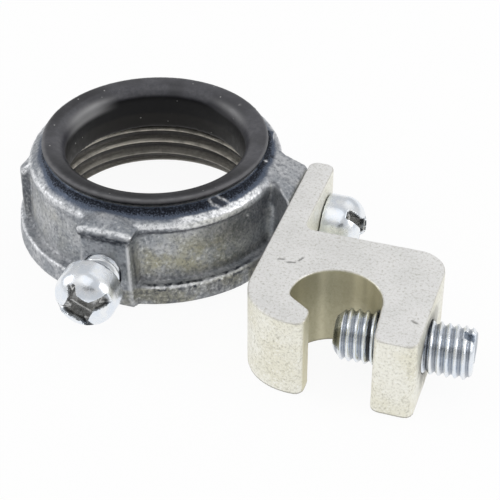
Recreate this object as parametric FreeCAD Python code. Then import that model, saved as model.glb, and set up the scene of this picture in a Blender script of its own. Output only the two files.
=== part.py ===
# Insulated grounding bushing for 3/4 inch conduit, with a lay-in lug for the earth wire.
# Millimetres, +Z up. The origin is on the ring's axis at its bottom face, +X is the way that the
# lug's boss faces, and the locking screw's boss faces along -Y.
import FreeCAD, Part
import math
import os
from FreeCAD import Vector

# Conduit thread and the ring round it, with the ring's outer sizes taken at its bottom face
conduit_radius = 13.335
conduit_clearance = 0.10
thread_entry = 0.15
conduit_stop_height = 7.0
casting_wall = 2.865
flange_overhang = 1.45
flange_height = 2.7
ledge_rise = 0.35
flange_edge_round = 0.3
draft_angle = 4.0

# Shoulder, the lip round its edge, and the neck under the liner's rim
neck_wall = 1.3
neck_height = 12.0
shoulder_angle = 37.0
lip_depth = 0.9
lip_overhang = 0.35
lip_round = 0.5

# Flat boss for the lug, which flares to one side where it meets the lug's foot
lug_boss_stand = 2.7
lug_boss_edge_drop = 2.1
lug_boss_far_side = 4.4
lug_boss_far_root_round = 2.4
lug_boss_near_root = 2.2
lug_boss_near_root_round = 0.8
lug_boss_near_side = 5.8
lug_boss_corner_round = 1.6

# Flat boss for the locking screw
lock_boss_stand = 2.0
lock_boss_edge_drop = 1.7
lock_boss_width = 7.6
lock_boss_hip_angle = 19.0
lock_boss_hip_rise = 0.3
lock_screw_offset = -0.4

# Grip ribs, spaced evenly about the side that faces away from the two bosses
rib_count = 3
rib_spacing = 70.0
rib_stand = 1.4
rib_width = 2.8

# Rounding of the casting's upright edges and of their roots on the wall, at the bottom face
casting_round = 1.0
root_round = 0.6
root_sink = 0.2

# Insulating liner
throat_inset = 2.035
liner_wall = 1.15
liner_fit = 0.05
bell_dip = 0.22
bell_round = 1.6
rim_overhang = 0.35
rim_thickness = 1.0
rim_edge_thickness = 0.55
rim_seat_inset = 0.3
rim_round = 0.2

# Small screws of the lug and the lock, 0.190 inch
screw_height = 4.5
small_screw_radius = 2.413
small_tip_chamfer = 0.6
screw_clearance = 0.05
head_radius = 3.8
head_side_height = 2.1
head_height = 5.0
lock_screw_length = 6.9
lock_head_gap = 2.5
lug_screw_length = 8.4
drive_square = 3.2
drive_depth = 2.6
slot_width = 1.3
slot_depth = 2.1
cross_width = 1.1
cross_length = 5.8
cross_depth = 1.6
lock_drive_turn = 20.0
lug_drive_turn = 27.0

# Lay-in lug, an extruded profile whose places are measured from its foot's inner face and its screw's axis
lug_base_height = 0.05
lug_height = 10.5
foot_gap = 0.10
foot_thickness = 3.25
foot_end = 4.1
foot_end_round = 1.2
foot_hole_clearance = 0.25
jaw_back = -9.6
jaw_back_round = 3.6
jaw_length = 20.9
jaw_front = -26.9
jaw_heel_round = 6.5
wire_hole_radius = 5.2
wire_hole_out = 10.3
wire_hole_y = -21.3
hook_root_y = -22.0
hook_tip_out = 8.2
hook_tip_y = -24.1
mouth_jaw_out = 16.1
lug_outer_round = 1.1
lug_inner_round = 1.2
lug_edge_round = 0.2

# Clamping screw of the lug, 1/4 inch, set a little askew in plan with its tip level with the hole's middle
clamp_screw_radius = 3.08
clamp_screw_length = 15.9
clamp_axis_offset = 0.5
clamp_axis_turn = 4.0
clamp_tip_cone = 1.2
clamp_end_chamfer = 0.7
clamp_slot_width = 1.1
clamp_slot_depth = 1.6
clamp_slot_turn = 12.0

origin = Vector(0, 0, 0)
up = Vector(0, 0, 1)
lug_direction = Vector(1, 0, 0)
lock_direction = Vector(0, -1, 0)
lug_axis_start = Vector(0, 0, screw_height)
lock_axis_start = Vector(lock_screw_offset, 0, screw_height)
clamp_direction = FreeCAD.Rotation(up, clamp_axis_turn).multVec(lug_direction)
bore_radius = conduit_radius + conduit_clearance
wall_radius = bore_radius + casting_wall
flange_radius = wall_radius + flange_overhang
rib_reach = wall_radius + rib_stand
lock_boss_reach = wall_radius + lock_boss_stand
lock_boss_edge_height = neck_height - lock_boss_edge_drop
lug_boss_reach = wall_radius + lug_boss_stand
lug_boss_edge_height = neck_height - lug_boss_edge_drop
small_hole_radius = small_screw_radius + screw_clearance
liner_throat_radius = conduit_radius - throat_inset
liner_seat_radius = liner_throat_radius + liner_wall + liner_fit
liner_bottom_height = conduit_stop_height
neck_radius = liner_seat_radius + neck_wall
rim_radius = neck_radius + rim_overhang
rim_height = neck_height + rim_thickness
shoulder_slope = math.tan(math.radians(shoulder_angle))
foot_inner = lug_boss_reach + foot_gap
foot_outer = foot_inner + foot_thickness
jaw_reach = foot_inner + jaw_length
wire_hole_x = foot_inner + wire_hole_out
hook_tip_x = foot_inner + hook_tip_out
mouth_jaw_x = foot_inner + mouth_jaw_out
clamp_tip = Vector(wire_hole_x, wire_hole_y + clamp_axis_offset, lug_base_height + lug_height / 2.0)
cut_margin = 1.0
ellipse_handle = 0.5523


def drop(height):
    """How far the casting's draft brings a wall in at a height."""
    return height * math.tan(math.radians(draft_angle))


lip_radius = wall_radius - drop(neck_height - lip_depth) + lip_overhang
lip_low = neck_height - shoulder_slope * (lip_radius - neck_radius) - lip_depth


def outline(corners):
    """Face in plan through corners (x, y, radius), each rounded by an arc that touches both sides."""
    entries = []
    exits = []
    edges = []
    count = len(corners)
    for number, (x, y, radius) in enumerate(corners):
        corner = Vector(x, y, 0)
        before = Vector(*corners[number - 1][:2], 0) - corner
        after = Vector(*corners[(number + 1) % count][:2], 0) - corner
        half_angle = before.getAngle(after) / 2.0
        before.normalize()
        after.normalize()
        reach = radius / math.tan(half_angle)
        entries.append(corner + before * reach)
        exits.append(corner + after * reach)
        if radius > 0:
            to_arc = radius / math.sin(half_angle) - radius
            middle = corner + (before + after).normalize() * to_arc
            edges.append(Part.Arc(entries[-1], middle, exits[-1]).toShape())
    for number in range(count):
        edges.append(Part.LineSegment(exits[number], entries[(number + 1) % count]).toShape())
    return Part.Face(Part.Wire(Part.sortEdges(edges)[0]))


def stood_up(face):
    """Turn a face in plan so that its x and y become distance along X and height."""
    face.rotate(origin, Vector(1, 0, 0), 90)
    return face


def turned(section):
    """Solid of revolution about the ring's axis from corners (radius, height, rounding)."""
    return stood_up(outline(section)).revolve(origin, up, 360)


def quarter_oval(start, corner, end):
    """Edge that leaves start towards corner and arrives at end from corner, as a quarter ellipse does."""
    poles = [start, start + (corner - start) * ellipse_handle, end + (corner - end) * ellipse_handle, end]
    curve = Part.BezierCurve()
    curve.setPoles(poles)
    return curve.toShape()


def disc_in_plan(radius, x, y):
    return Part.Face(Part.Wire(Part.makeCircle(radius, Vector(x, y, 0))))


def wall_at(side):
    """How far out the round wall lies at a distance to the side of a boss's or rib's middle."""
    return math.sqrt(wall_radius ** 2 - side ** 2)


def bar_in_plan(width, reach):
    """Strip out along +X for a boss or a rib, which widens into the round wall at its root."""
    half = width / 2.0
    foot = half + root_round + root_sink
    root = wall_at(foot)
    one_side = [(0, foot, 0), (root, foot, 0), (root, half, root_round), (reach, half, casting_round)]
    other_side = [(x, -y, rounding) for x, y, rounding in reversed(one_side)]
    return outline(one_side + other_side)


def drafted(plan, height):
    """Solid that stands on a plan outline and narrows upwards by the casting's draft."""
    top = plan.makeOffset2D(-drop(height))
    top.translate(up * height)
    return Part.makeLoft([plan.OuterWire, top.OuterWire], True, True)


def under_shoulder(reach, low):
    """What lies under the shoulder's cone from a height up, its edge rounded where it ends at a radius."""
    edge_height = neck_height - shoulder_slope * (reach - neck_radius)
    return turned([(0, low, 0), (reach, low, 0), (reach, edge_height, lip_round),
                   (neck_radius, neck_height, 0), (0, neck_height, 0)])


def under_slope(reach, edge_height, low):
    """What lies under a boss's sloping top, its outer edge rounded; the boss points along +X."""
    profile = stood_up(outline([(0, low, 0), (reach, low, 0), (reach, edge_height, lip_round),
                                (neck_radius, neck_height, 0), (0, neck_height, 0)]))
    profile.translate(Vector(0, flange_radius, 0))
    return profile.extrude(Vector(0, -2.0 * flange_radius, 0))


def above_hip(side, height, sign):
    """What lies above a plane that falls away to one side of a boss, which points along +X."""
    span = 2.0 * flange_radius
    rise = span * math.tan(math.radians(lock_boss_hip_angle))
    profile = stood_up(outline([(side - span, height + rise, 0), (side + span, height - rise, 0),
                                (side + span, height + span, 0), (side - span, height + span, 0)]))
    block = profile.extrude(Vector(0, -sign * span, 0))
    block.rotate(origin, up, sign * 90.0)
    return block


def rib_angles():
    """The middle rib points away from the corner between the two bosses."""
    return [135.0 + rib_spacing * (number - (rib_count - 1) / 2.0) for number in range(rib_count)]


def lug_pad():
    """Upright form of the lug's boss, which flares on one side from the wall out to the lug's foot."""
    reach = lug_boss_reach + drop(neck_height)
    far_foot = lug_boss_far_side + lug_boss_far_root_round + drop(neck_height) + root_sink
    far_root = wall_at(far_foot)
    near_root = wall_at(lug_boss_near_side)
    flare = (lug_boss_near_side - lug_boss_near_root) / (lug_boss_reach - near_root)
    near_end = lug_boss_near_root + flare * (reach - near_root)
    plan = outline([(0, -lug_boss_near_root, 0), (near_root, -lug_boss_near_root, lug_boss_near_root_round),
                    (reach, -near_end, 0),
                    (reach, lug_boss_far_side, lug_boss_corner_round),
                    (far_root, lug_boss_far_side, lug_boss_far_root_round), (far_root, far_foot, 0),
                    (0, far_foot, 0)])
    return drafted(plan, neck_height)


def lug_boss():
    """The lug's boss under its sloping top; its outer face is upright, because the lug bolts to it."""
    return lug_pad().common(under_slope(lug_boss_reach, lug_boss_edge_height, 0))


def lock_pad_plan():
    return bar_in_plan(lock_boss_width, lock_boss_reach)


def facing_lock(shape):
    """Turn a shape from +X to the locking screw's side."""
    shape.rotate(origin, up, -90)
    return shape


def lock_roof(reach, low):
    """What lies under the locking boss's top, which slopes down to its outer edge and to both sides."""
    roof = under_slope(reach, lock_boss_edge_height, low)
    side = lock_boss_width / 2.0 - drop(lock_boss_edge_height)
    for sign in (1, -1):
        roof = roof.cut(above_hip(side, lock_boss_edge_height + lock_boss_hip_rise, sign))
    return roof


def lock_boss():
    """The locking screw's boss with a lip along the top of its outer face."""
    low = lock_boss_edge_height - lip_depth
    band = lock_pad_plan().makeOffset2D(lip_overhang - drop(low)).extrude(up * neck_height)
    lip_reach = lock_boss_reach - drop(low) + lip_overhang
    lip = band.common(lock_roof(lip_reach, low))
    pad = drafted(lock_pad_plan(), neck_height).common(lock_roof(lip_reach, 0))
    return facing_lock(pad.fuse(lip))


def grip_rib(angle):
    """Rib that ends under the shoulder's cone."""
    rib = drafted(bar_in_plan(rib_width, rib_reach), neck_height)
    edge_height = neck_height - shoulder_slope * (rib_reach - neck_radius)
    rib = rib.common(under_shoulder(rib_reach - drop(edge_height), 0))
    rib.rotate(origin, up, angle)
    return rib


def round_wall():
    """Drafted wall up to where the shoulder's lip begins."""
    top = wall_radius - drop(lip_low)
    return turned([(0, 0, 0), (wall_radius, 0, 0), (top, lip_low, 0), (0, lip_low, 0)])


def flange():
    """Bottom flange whose top falls away to its edge as a narrow ledge."""
    ledge_height = flange_height + ledge_rise
    return turned([(0, 0, 0), (flange_radius, 0, flange_edge_round),
                   (flange_radius - drop(flange_height), flange_height, flange_edge_round),
                   (neck_radius, ledge_height, 0), (0, ledge_height, 0)])


def radial_hole(direction, reach, start):
    return Part.makeCylinder(small_hole_radius, reach + cut_margin, start, direction)


def bushing_body():
    """One zinc casting: ring, ribs and bosses, bored for the conduit and the liner and tapped twice."""
    shoulder = under_shoulder(lip_radius, lip_low)
    ribs = [grip_rib(angle) for angle in rib_angles()]
    body = round_wall().fuse([shoulder, flange(), lug_boss(), lock_boss()] + ribs).removeSplitter()
    entry_radius = bore_radius + thread_entry
    above = neck_height + cut_margin
    bore = turned([(0, -cut_margin, 0), (entry_radius, -cut_margin, 0), (entry_radius, 0, 0),
                   (bore_radius, thread_entry, 0), (bore_radius, conduit_stop_height, 0),
                   (liner_seat_radius, conduit_stop_height, 0), (liner_seat_radius, above, 0), (0, above, 0)])
    lug_hole = radial_hole(lug_direction, lug_boss_reach, lug_axis_start)
    lock_hole = radial_hole(lock_direction, lock_boss_reach, lock_axis_start)
    return body.cut([bore, lug_hole, lock_hole])


def insulating_liner():
    """Sleeve with a rounded bell mouth whose wide rim thins to its edge and rests on the casting's neck."""
    sleeve_radius = liner_throat_radius + liner_wall
    return turned([(liner_throat_radius, liner_bottom_height, 0), (sleeve_radius, liner_bottom_height, 0),
                   (sleeve_radius, neck_height, 0), (neck_radius - rim_seat_inset, neck_height, 0),
                   (rim_radius, rim_height - rim_edge_thickness, rim_round),
                   (rim_radius, rim_height, rim_round),
                   (liner_throat_radius, rim_height - bell_dip, bell_round)])


def slot_block(width, depth, length, top):
    return Part.makeBox(length, width, depth, Vector(-length / 2.0, -width / 2.0, top - depth))


def small_screw(shank_length):
    """Round-topped screw on the Z axis, its head's underside at height 0, with a combination drive."""
    side_top = Vector(head_radius, 0, head_side_height)
    crown = Vector(0, 0, head_height)
    lower = [crown, Vector(0, 0, -shank_length),
             Vector(small_screw_radius - small_tip_chamfer, 0, -shank_length),
             Vector(small_screw_radius, 0, small_tip_chamfer - shank_length),
             Vector(small_screw_radius, 0, 0), Vector(head_radius, 0, 0), side_top]
    dome = quarter_oval(side_top, Vector(head_radius, 0, head_height), crown)
    section = Part.Face(Part.Wire(Part.makePolygon(lower).Edges + [dome]))
    screw = section.revolve(origin, up, 360)
    square = slot_block(drive_square, drive_depth, drive_square, head_height)
    square.rotate(origin, up, 45)
    slot = slot_block(slot_width, slot_depth, 3.0 * head_radius, head_height)
    cross = slot_block(cross_length, cross_depth, cross_width, head_height)
    return screw.cut([square, slot, cross])


def aimed(shape, turn, direction, place):
    """Turn a shape about its own Z axis, then point that axis along a direction from a place."""
    pointing = FreeCAD.Rotation(up, direction).multiply(FreeCAD.Rotation(up, turn))
    shape.Placement = FreeCAD.Placement(place, pointing)
    return shape


def lock_screw():
    boss_face = lock_boss_reach - drop(screw_height)
    place = lock_axis_start + lock_direction * (boss_face + lock_head_gap)
    return aimed(small_screw(lock_screw_length), lock_drive_turn, lock_direction, place)


def lug_screw():
    place = lug_axis_start + lug_direction * (foot_outer + foot_gap)
    return aimed(small_screw(lug_screw_length), lug_drive_turn, lug_direction, place)


def lug_plan():
    """Foot and C-shaped jaw seen along the extrusion: a round wire hole with a hooked mouth."""
    blank = outline([(foot_inner, foot_end, foot_end_round), (foot_outer, foot_end, foot_end_round),
                     (foot_outer, jaw_back, lug_inner_round), (jaw_reach, jaw_back, jaw_back_round),
                     (jaw_reach, jaw_front, lug_outer_round), (foot_inner, jaw_front, jaw_heel_round)])
    hole_left = wire_hole_x - wire_hole_radius
    hole_right = wire_hole_x + wire_hole_radius
    outside = jaw_front - cut_margin
    hook = outline([(hole_left - cut_margin, hook_root_y, 0), (hole_left, hook_root_y, 0),
                    (hook_tip_x, hook_tip_y, 0), (hook_tip_x, outside, 0),
                    (hole_left - cut_margin, outside, 0)])
    hole = disc_in_plan(wire_hole_radius, wire_hole_x, wire_hole_y).cut(hook)
    mouth = outline([(wire_hole_x, wire_hole_y, 0), (hook_tip_x, hook_tip_y, 0), (hook_tip_x, outside, 0),
                     (mouth_jaw_x, outside, 0), (hole_right, wire_hole_y, 0)])
    profile = blank.cut([hole, mouth]).Faces[0]
    opened = profile.makeOffset2D(-lug_outer_round).makeOffset2D(lug_outer_round)
    return opened.makeOffset2D(lug_inner_round).makeOffset2D(-lug_inner_round)


def ground_lug():
    """Extruded lug with its sawn edges broken, drilled through the foot and tapped through the outer jaw."""
    lug = lug_plan().extrude(up * lug_height)
    rims = [edge for edge in lug.Edges if edge.BoundBox.ZLength < lug_edge_round]
    lug = lug.makeFillet(lug_edge_round, rims)
    lug.translate(up * lug_base_height)
    foot_hole = Part.makeCylinder(small_screw_radius + foot_hole_clearance, foot_outer + cut_margin,
                                  lug_axis_start, lug_direction)
    clamp_hole = Part.makeCylinder(clamp_screw_radius + screw_clearance, jaw_reach,
                                   clamp_tip, clamp_direction)
    return lug.cut([foot_hole, clamp_hole])


def clamp_screw():
    """Headless screw with a coned tip in the wire hole and a slot in its outer end."""
    screw = turned([(0, 0, 0), (clamp_screw_radius - clamp_tip_cone, 0, 0),
                    (clamp_screw_radius, clamp_tip_cone, 0),
                    (clamp_screw_radius, clamp_screw_length - clamp_end_chamfer, 0),
                    (clamp_screw_radius - clamp_end_chamfer, clamp_screw_length, 0),
                    (0, clamp_screw_length, 0)])
    slot = slot_block(clamp_slot_width, clamp_slot_depth, 3.0 * clamp_screw_radius, clamp_screw_length)
    return aimed(screw.cut(slot), clamp_slot_turn, clamp_direction, clamp_tip)


os.makedirs("parts", exist_ok=True)
pieces = {"bushing_body": bushing_body, "insulating_liner": insulating_liner, "lock_screw": lock_screw,
          "ground_lug": ground_lug, "lug_screw": lug_screw, "clamp_screw": clamp_screw}
for name, make in pieces.items():
    shape = make()
    shape.exportStep("parts/" + name + ".step")
    print(name, len(shape.Solids), shape.isValid(), round(shape.Volume, 2))
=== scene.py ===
"""Looks of an insulated grounding bushing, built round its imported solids.

Shapes are worked out in millimetres and set into the scene in metres.
"""

import math

import bmesh
import bpy
import numpy as np
from mathutils import Matrix, Vector, noise


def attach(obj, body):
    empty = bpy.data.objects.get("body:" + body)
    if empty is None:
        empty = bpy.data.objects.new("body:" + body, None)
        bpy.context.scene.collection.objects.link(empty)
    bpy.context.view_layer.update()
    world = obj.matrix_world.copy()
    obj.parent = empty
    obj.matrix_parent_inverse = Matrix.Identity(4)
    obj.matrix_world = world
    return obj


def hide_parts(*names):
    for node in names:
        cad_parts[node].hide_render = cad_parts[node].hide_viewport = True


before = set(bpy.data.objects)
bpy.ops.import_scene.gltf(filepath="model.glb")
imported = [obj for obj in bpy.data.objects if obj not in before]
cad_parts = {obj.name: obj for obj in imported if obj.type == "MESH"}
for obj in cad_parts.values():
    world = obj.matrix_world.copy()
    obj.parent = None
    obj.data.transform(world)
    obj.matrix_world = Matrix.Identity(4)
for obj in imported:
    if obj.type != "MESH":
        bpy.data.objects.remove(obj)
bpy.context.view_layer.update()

# Sizes, in millimetres
millimetre = 0.001
bore_radius = 13.435
bore_depth = 7.0
bore_pitch = 1.814
bore_thread_height = 1.0
bore_crest_height = 5.65
bore_wall_near = 0.35
bore_wall_top = bore_depth - 0.05
screw_height = 4.5
lock_screw_x = -0.4
lock_head_under = 20.485
lug_head_under = 22.45
small_radius = 2.413
small_pitch = 1.06
small_thread_depth = 0.55
small_thread_end = -0.3
head_radius = 3.8
head_side_height = 2.1
head_height = 5.0
head_snap_gap = 0.16
head_snap_low = 0.25
recess_low = 0.5 * head_side_height
recess_reach = 0.95 * head_radius
recess_depth = (0.3, 0.7)
recess_rim_depth = (0.3, 0.75, 0.12)
clamp_tip = (29.4, -20.8, 5.3)
clamp_radius = 3.08
clamp_pitch = 0.93
clamp_thread_depth = 0.46
clamp_thread_end = 17.0
clamp_crest_at = 1.75
throat_radius = 11.3
rim_radius = 14.15
wire_hole = (29.4, -21.3)
wire_hole_radius = 5.2

# Directions, and turns in degrees about the ring's axis from +X
up = (0.0, 0.0, 1.0)
lock_way = (0.0, -1.0, 0.0)
lug_way = (1.0, 0.0, 0.0)
clamp_crest_way = (0.3, -1.0, 0.9)
clamp_turn = 4.0
far_turn = 108.0
left_rib_turn = 205.0

# Fineness of the meshes, in millimetres
casting_voxel = 0.21
liner_voxel = 0.2
lug_voxel = 0.17
small_screw_voxel = 0.11
clamp_voxel = 0.11

# Uneven skin: the lump size, height and seed of each set of waves, and how far the skin is sunk
casting_waves = ((2.2, 0.035, 1), (0.8, 0.03, 2))
casting_sink = 0.03
lug_waves = ((1.6, 0.02, 4), (0.6, 0.012, 5))
lug_sink = 0.02

# Places on the casting, in millimetres
lip_edge_radius = 15.7
lip_edge_height = 10.35
lip_bottom = 9.54
lip_shade_radius = 15.6
shoulder_bottom = 10.0
soot_and_shade_radius = 15.45
lock_boss_half = 3.7
lock_boss_root = -16.0
lock_face_root = -17.0
lock_bead_y = -17.5
lock_bead_height = 10.35
lock_bead_bottom = 9.4
lock_corner_x = 3.0
lock_corner_low = (3.51, -18.01, 0.0)
lock_corner_high = (2.88, -17.38, 9.3)
ledge_radius = 17.5
ledge_height = 2.6
ledge_inner = 16.1
panel_outer = 16.4
flange_inner = 17.0
left_rib_root = 15.9
rib_top_low = (-15.08, -7.87, 9.05)
rib_top_high = (-14.09, -7.41, 10.3)
scar_start = (10.87, -9.04, 11.74)
scar_end = (12.19, -8.87, 11.04)
dark_pit = (14.67, 1.98, 11.65)
dark_pit_size = 0.4
# The first is a painted glint beside the dark pit; the other two are small bright pits.
glint_and_bright_pits = ((14.35, 0.52, 11.78), (14.30, -6.49, 8.39), (17.21, -3.96, 6.99))
glint_and_pit_size = 0.3
boss_flash_start = (15.3, -3.1, 10.7)
boss_flash_end = (16.2, -2.4, 10.6)
flare_root_low = (16.0, -2.4, 3.6)
flare_root_high = (15.7, -2.4, 10.0)
flare_hole_top = 7.3
flare_fill_low = (16.1, -2.85, 2.4)
flare_fill_high = (15.8, -2.75, 7.6)
flare_fill_radius = 0.42
flare_fill_sides = 16
soft_rounds = 40

# Bands on the casting: where each starts and ends and how far its ends fade, in millimetres
lock_roof_across = (-6.0, 6.0, 0.8)
lip_face_reach = (15.15, 16.1, 0.12)
# The bands under the lip and under the bead carry painted shade.
under_lip_reach = (15.3, 16.2, 0.1)
under_lip_height = (lip_bottom - 0.3, lip_bottom + 0.1, 0.12)
lip_shade_height = (lip_bottom, lip_bottom + 0.45, 0.1)
under_bead_height = (lock_bead_bottom - 0.6, lock_bead_bottom + 0.6, 0.12)
left_rib_height = (3.2, 9.6, 0.3)
ledge_line_reach = (16.85, 17.1, 0.08)
ledge_line_height = (2.5, 3.2, 0.1)
ledge_root_reach = (ledge_inner, ledge_inner + 0.2, 0.08)
ledge_root_height = (2.5, 3.1, 0.1)
panel_height = (2.9, 9.4, 0.1)
scar_edge_gap = (0.45, 0.75, 0.12)
flash_shade_gap = (0.16, 0.6, 0.06)
groove_gap = (0.7, 1.2, 0.2)
panel_stain_height = (3.3, 9.0, 0.8)
flange_dirt_height = (0.0, 2.4, 0.2)
flange_stain_height = (0.0, 2.5, 0.2)

# Slopes on the casting: where each starts and ends, in millimetres
off_bore_reach = (bore_radius + 0.3, bore_radius + 0.6)
off_thread_reach = (small_radius + 0.15, small_radius + 0.8)
off_flare_hole_reach = (small_radius + 0.15, small_radius + 0.4)
off_head_reach = (head_radius + 0.2, head_radius + 0.6)
bore_run_in = (0.1, 0.9)
bore_run_out = (bore_depth - 0.6, bore_depth - 0.1)
bore_light_height = (2.0, 4.0)
floor_rise = (0.05, 0.4)
ridge_rise = (0.2, 0.8)
lip_face_rise = (lip_bottom + 0.1, lip_bottom + 0.4)
lock_roof_back = (-14.6, -14.2)
lock_roof_height = (9.6, 10.0)
soot_and_shade_fade = (-1.35, 0.15)
panel_dark_height = (4.5, 7.5)
panel_bottom_height = (3.0, 4.8)
stain_fade_height = (5.5, 8.0)

# Widths of lines on the casting: the distances at which each starts to fade and ends, in millimetres
lip_width = (0.15, 0.5)
bead_width = (0.1, 0.45)
ridge_width = (0.15, 0.5)
flash_width = (0.08, 0.24)
left_flash_width = (0.1, 0.3)
boss_flash_width = (0.1, 0.4)
rib_top_width = (0.15, 0.45)
scar_width = (0.15, 0.45)
flare_root_width = (0.8, 1.8)

# Stretches round the casting: where each starts and ends, and how far its ends fade, in degrees
right_lip_turns = (278.0, 335.0, 4.0)
left_lip_turns = (185.0, 245.0, 6.0)
lip_face_turns = (300.0, 346.0, 4.0)
lip_shade_turns = (276.0, 300.0, 4.0)
under_lip_turns = (266.0, 335.0, 5.0)
flash_turns = (287.0, 330.0, 3.0)
flash_shade_turns = (285.0, 332.0, 4.0)
left_flash_turns = (195.0, 255.0, 5.0)
left_soot_and_shade_turns = (165.0, 225.0, 10.0)
front_soot_and_shade_turns = (232.0, 290.0, 8.0)
right_soot_and_shade_turns = (290.0, 345.0, 8.0)
ledge_line_turns = (284.0, 335.0, 3.0)
panel_turns = (284.0, 350.0, 4.0)
panel_dark_turns = (300.0, 326.0)
right_side_turns = (276.0, 345.0, 3.0)
right_stain_turns = (282.0, 326.0, 8.0)
left_stain_turns = (205.0, 250.0, 10.0)

# Marks on the liner, in the same terms, with painted sheen and highlights on the mouth and rim, painted
# shade on its front, its left and the rim's outer side, and painted bounce light low in the throat
mouth_height = (11.4, 12.0)
mouth_front_fade = (13.2, 13.8)
mouth_left_rise = (12.3, 12.9)
rim_side_shade_reach = (rim_radius - 0.5, rim_radius - 0.3)
throat_end_height = (8.8, 9.4)
far_side_turns = (far_turn - 38.0, far_turn + 38.0, 12.0)
mouth_front_turns = (222.0, 345.0, 15.0)
mouth_left_turns = (140.0, 190.0, 12.0)
rim_highlight_turns = (190.0, 345.0, 15.0)
rim_highlight_reach = (rim_radius - 0.4, rim_radius - 0.12, 0.1)
left_sheen_turns = (146.0, 180.0, 12.0)
left_sheen_height = (10.7, 12.4, 0.4)
right_sheen_turns = (36.0, 62.0, 12.0)
right_sheen_height = (11.6, 12.5, 0.4)
sheen_reach = throat_radius + 1.2
dust_places = ((-12.01, 3.76, 12.52), (-9.42, 7.13, 11.61), (7.78, 10.19, 12.68))
dust_size = 0.3

# Marks on the lug and the clamping screw, in the same terms, with nicks, and painted shadows along the lug's
# foot, on the jaw's side by the screw and in the screw's thread beside the jaw
nick_lines = (
    ((21.2, -16.3, 10.55), (21.8, -16.15, 10.55)),
    ((22.3, -16.55, 10.55), (23.2, -16.35, 10.55)),
    ((23.5, -15.9, 10.55), (23.8, -15.2, 10.55)),
    ((38.4, -22.4, 10.55), (39.0, -22.7, 10.55)),
)
nick_depth = 0.1
nick_strength = 0.75
nick_width = (0.04, 0.2)
foot_shadow_height = (0.2, 0.45)
clamp_shadow_reach = (3.3, 5.6)
jaw_side_x = 38.5
jaw_inside_along = 5.2
jaw_outside_along = 10.7
inside_shade_along = (jaw_inside_along - 1.6, jaw_inside_along, 0.3)
outside_shade_along = (jaw_outside_along, jaw_outside_along + 0.5, 0.3)
hole_wall_reach = (wire_hole_radius + 0.1, wire_hole_radius + 0.4)
dark_hole_turns = (128.0, 215.0, 12.0)
hole_streak_radius = 3.0

# Stage, in metres, with the camera's sensor in millimetres
stage_middle = Vector((0.012, -0.006, 0.006))
floor_half = 2.0
floor_height = -0.00005
card_middle = Vector((0.11, -0.34, 0.27))
card_half_width = 0.15
card_half_height = 0.045
card_across = Vector((0.951, 0.309, 0.0)) * card_half_width
card_upright = Vector((-0.187, 0.577, 0.795)) * card_half_height
world_strength = 0.66
camera_place = Vector((63.84, -157.81, 124.26)) * millimetre
camera_way = Vector((-0.2464, 0.7566, -0.6057))
camera_angle = math.radians(17.5)
camera_sensor = 36.0


def ramp(values, low, high):
    """0 below low, 1 above high, eased between them."""
    share = np.clip((values - low) / (high - low), 0.0, 1.0)
    return share * share * (3.0 - 2.0 * share)


def close_by(values, near, far):
    """1 below near, 0 above far, eased between them."""
    return 1.0 - ramp(values, near, far)


def window(values, low, high, ease):
    """1 between low and high and 0 outside, eased over a stretch at both ends."""
    return ramp(values, low - ease, low + ease) * close_by(values, high - ease, high + ease)


def strongest(*marks):
    """Highest of several marks at each point, each of which comes after its strength."""
    return np.max([strength * mark for strength, mark in marks], axis=0)


def points_of(mesh):
    flat = np.zeros(len(mesh.vertices) * 3)
    mesh.vertices.foreach_get("co", flat)
    return flat.reshape(-1, 3)


def normals_of(mesh):
    flat = np.zeros(len(mesh.vertices) * 3)
    mesh.vertices.foreach_get("normal", flat)
    return flat.reshape(-1, 3)


def set_points(mesh, points):
    mesh.vertices.foreach_set("co", points.ravel())
    mesh.update()


def store(mesh, name, values):
    """Keeps a value at each point of a mesh, for the materials to read."""
    kept = mesh.attributes.new(name, "FLOAT", "POINT")
    kept.data.foreach_set("value", values.astype(np.float32))


def rough(points, size, seed):
    """Smooth noise between -1 and 1 with lumps of that size."""
    shift = Vector((seed * 7.31, seed * 3.17, seed * 5.73))
    return np.array([noise.noise(Vector(point) / size + shift) for point in points])


def waves_of(points, waves):
    """Height of several sets of waves, one on top of another."""
    return sum(height * rough(points, size, seed) for size, height, seed in waves)


def level_way(turn):
    """Level direction at a turn in degrees about the ring's axis from +X."""
    angle = math.radians(turn)
    return np.array((math.cos(angle), math.sin(angle), 0.0))


def round_ring(points):
    """Distance of each point from the ring's axis, and its turn in degrees about that axis from +X."""
    x, y, _ = points.T
    return np.hypot(x, y), np.degrees(np.arctan2(y, x)) % 360.0


def round_axis(points, start, axis, zero):
    """Distance along an axis, distance from it, turn about it from the zero direction, and way out of it."""
    axis = np.array(axis)
    zero = np.array(zero)
    offset = points - np.array(start)
    along = offset @ axis
    side = np.cross(axis, zero)
    turn = np.arctan2(offset @ side, offset @ zero)
    out = offset - np.outer(along, axis)
    return along, np.linalg.norm(out, axis=1), turn, out


def from_line(points, start, end):
    """Distance of each point from a straight line between two places."""
    start = np.array(start)
    way = np.array(end) - start
    share = np.clip((points - start) @ way / (way @ way), 0.0, 1.0)
    return np.linalg.norm(points - start - np.outer(share, way), axis=1)


def near_places(points, places, size):
    """1 at some places, falling to 0 at a distance of size from them."""
    share = np.zeros(len(points))
    for place in places:
        gap = np.linalg.norm(points - np.array(place), axis=1)
        share = np.maximum(share, close_by(gap, 0.4 * size, size))
    return share


def off_bore(points):
    """0 on the bore's wall, rising to 1 on all that lies further out."""
    reach, _ = round_ring(points)
    return ramp(reach, *off_bore_reach)


def off_screws(points, near, far):
    """0 within a distance of near from the axes of both screws in the casting, rising to 1 at far."""
    x, y, z = points.T
    lock_gap = np.where(y < 0.0, np.hypot(x - lock_screw_x, z - screw_height), far)
    lug_gap = np.where(x > 0.0, np.hypot(y, z - screw_height), far)
    return ramp(np.minimum(lock_gap, lug_gap), near, far)


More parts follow.
